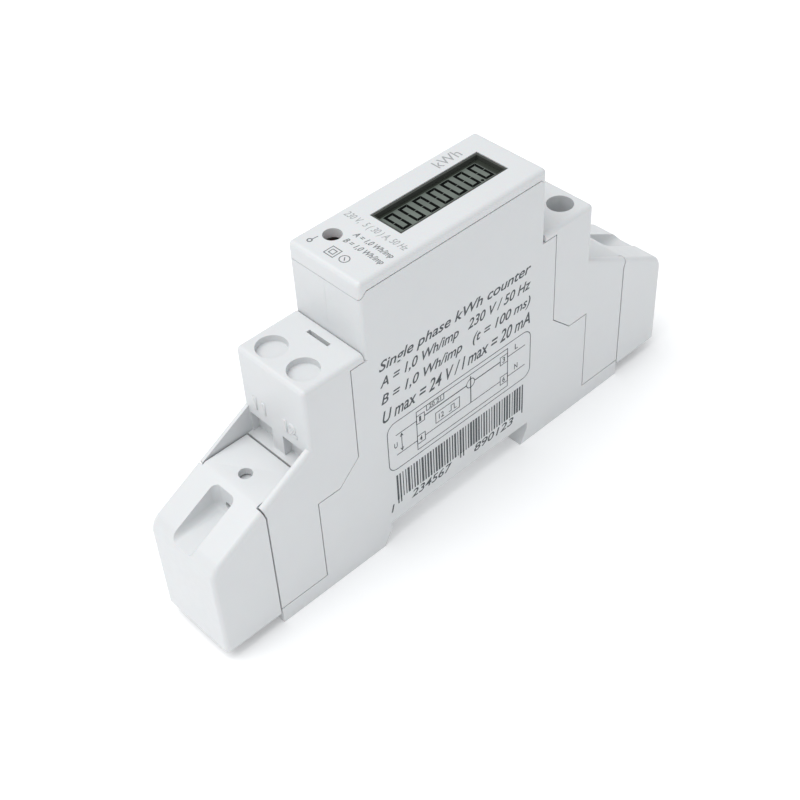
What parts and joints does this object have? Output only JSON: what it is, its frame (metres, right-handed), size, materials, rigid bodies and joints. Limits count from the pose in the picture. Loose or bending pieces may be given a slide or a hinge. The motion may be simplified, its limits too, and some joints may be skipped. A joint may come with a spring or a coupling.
{
  "type": "electricity meter",
  "caption": "Narrow rail-mounted electricity meter: stepped two-half case, windowed front with a digit display, raised terminal shoulders and wedge-shaped seal covers.",
  "frame": {"origin": "middle of the base plane, where the foot strips rest", "axes": "+X along the meter to its pulse-output end, +Y across its width away from the printed side, +Z from the rail to the front"},
  "size_m": [0.118, 0.0176, 0.0644],
  "materials": {
    "case": "satin moulded, white",
    "display_frame": "matt, dark",
    "display_glass": "polished, grey-green",
    "reflector": "satin film",
    "rubber": "matt",
    "board": "solder-mask green",
    "chip": "moulded black",
    "capacitor_film": "epoxy coated",
    "capacitor_sleeve": "shrink sleeve",
    "varistor": "epoxy coated",
    "tin": "tinned",
    "copper": "bare copper",
    "brass": "nickel-plated brass",
    "steel": "zinc plated",
    "lamp": "tinted clear epoxy"
  },
  "bodies": {
    "case": {"near_case_half": "case", "far_case_half": "case", "front_bezel": "case", "blank_terminal_block": "case", "pulse_terminal_block": "case", "display_glass": "display_glass", "line_in_bar": "copper", "line_out_bar": "copper", "neutral_bar": "copper", "main_board": "board", "display_board": "board", "header_pins": "tin", "contact_strips": "rubber", "display_reflector": "reflector", "display_frame": "display_frame", "pulse_lamp": "lamp", "metering_chip": "chip", "optocoupler": "chip", "microcontroller": "chip", "clock_crystal": "tin", "chip_resistors": "chip", "electrolytic_capacitor": "capacitor_sleeve", "film_capacitor": "capacitor_film", "varistor": "varistor", "current_shunt": "copper", "pulse_plus_lead": "tin", "pulse_minus_lead": "tin", "rail_clip_spring": "steel"},
    "blank_end_cover": {"blank_end_seal_cover": "case"},
    "pulse_end_cover": {"pulse_end_seal_cover": "case"},
    "clip": {"rail_clip": "case"},
    "line_in_screw_body": {"line_in_screw": "steel"},
    "line_in_cage_body": {"line_in_cage": "brass"},
    "line_out_screw_body": {"line_out_screw": "steel"},
    "line_out_cage_body": {"line_out_cage": "brass"},
    "neutral_in_screw_body": {"neutral_in_screw": "steel"},
    "neutral_in_cage_body": {"neutral_in_cage": "brass"},
    "neutral_out_screw_body": {"neutral_out_screw": "steel"},
    "neutral_out_cage_body": {"neutral_out_cage": "brass"},
    "pulse_plus_screw_body": {"pulse_plus_screw": "steel"},
    "pulse_plus_cage_body": {"pulse_plus_cage": "brass"},
    "pulse_minus_screw_body": {"pulse_minus_screw": "steel"},
    "pulse_minus_cage_body": {"pulse_minus_cage": "brass"}
  },
  "joints": [
    {"name": "blank_end_cover_slide", "type": "slide", "parent": "case", "child": "blank_end_cover", "axis": [-1, 0, 0], "range_m": [0, 0.014]},
    {"name": "pulse_end_cover_slide", "type": "slide", "parent": "case", "child": "pulse_end_cover", "axis": [1, 0, 0], "range_m": [0, 0.014]},
    {"name": "rail_clip_slide", "type": "slide", "parent": "case", "child": "clip", "axis": [-1, 0, 0], "range_m": [0, 0.0032], "stiffness_N_per_m": 1500, "springref_m": -0.0015, "deforming": ["rail_clip_spring"]},
    {"name": "line_in_cage_lift", "type": "slide", "parent": "case", "child": "line_in_cage_body", "axis": [0, 0, 1], "range_m": [0, 0.0046]},
    {"name": "line_in_screw_turn", "type": "hinge", "parent": "case", "child": "line_in_screw_body", "pos_m": [-0.04095, -0.0041, 0.025], "axis": [0, 0, -1], "range_deg": [0, 2376]},
    {"name": "line_out_cage_lift", "type": "slide", "parent": "case", "child": "line_out_cage_body", "axis": [0, 0, 1], "range_m": [0, 0.0046]},
    {"name": "line_out_screw_turn", "type": "hinge", "parent": "case", "child": "line_out_screw_body", "pos_m": [0.04095, -0.0041, 0.025], "axis": [0, 0, -1], "range_deg": [0, 2376]},
    {"name": "neutral_in_cage_lift", "type": "slide", "parent": "case", "child": "neutral_in_cage_body", "axis": [0, 0, 1], "range_m": [0, 0.0046]},
    {"name": "neutral_in_screw_turn", "type": "hinge", "parent": "case", "child": "neutral_in_screw_body", "pos_m": [-0.04095, 0.0041, 0.025], "axis": [0, 0, -1], "range_deg": [0, 2376]},
    {"name": "neutral_out_cage_lift", "type": "slide", "parent": "case", "child": "neutral_out_cage_body", "axis": [0, 0, 1], "range_m": [0, 0.0046]},
    {"name": "neutral_out_screw_turn", "type": "hinge", "parent": "case", "child": "neutral_out_screw_body", "pos_m": [0.04095, 0.0041, 0.025], "axis": [0, 0, -1], "range_deg": [0, 2376]},
    {"name": "pulse_plus_cage_lift", "type": "slide", "parent": "case", "child": "pulse_plus_cage_body", "axis": [0, 0, 1], "range_m": [0, 0.0031]},
    {"name": "pulse_plus_screw_turn", "type": "hinge", "parent": "case", "child": "pulse_plus_screw_body", "pos_m": [0.0316, -0.0041, 0.042], "axis": [0, 0, -1], "range_deg": [0, 2246.4]},
    {"name": "pulse_minus_cage_lift", "type": "slide", "parent": "case", "child": "pulse_minus_cage_body", "axis": [0, 0, 1], "range_m": [0, 0.0031]},
    {"name": "pulse_minus_screw_turn", "type": "hinge", "parent": "case", "child": "pulse_minus_screw_body", "pos_m": [0.0316, 0.0041, 0.042], "axis": [0, 0, -1], "range_deg": [0, 2246.4]}
  ],
  "couplings": [
    {"joint": "line_in_screw_turn", "follows": "line_in_cage_lift", "rad_per_m": 8976},
    {"joint": "line_out_screw_turn", "follows": "line_out_cage_lift", "rad_per_m": 8976},
    {"joint": "neutral_in_screw_turn", "follows": "neutral_in_cage_lift", "rad_per_m": 8976},
    {"joint": "neutral_out_screw_turn", "follows": "neutral_out_cage_lift", "rad_per_m": 8976},
    {"joint": "pulse_plus_screw_turn", "follows": "pulse_plus_cage_lift", "rad_per_m": 12566},
    {"joint": "pulse_minus_screw_turn", "follows": "pulse_minus_cage_lift", "rad_per_m": 12566}
  ]
}
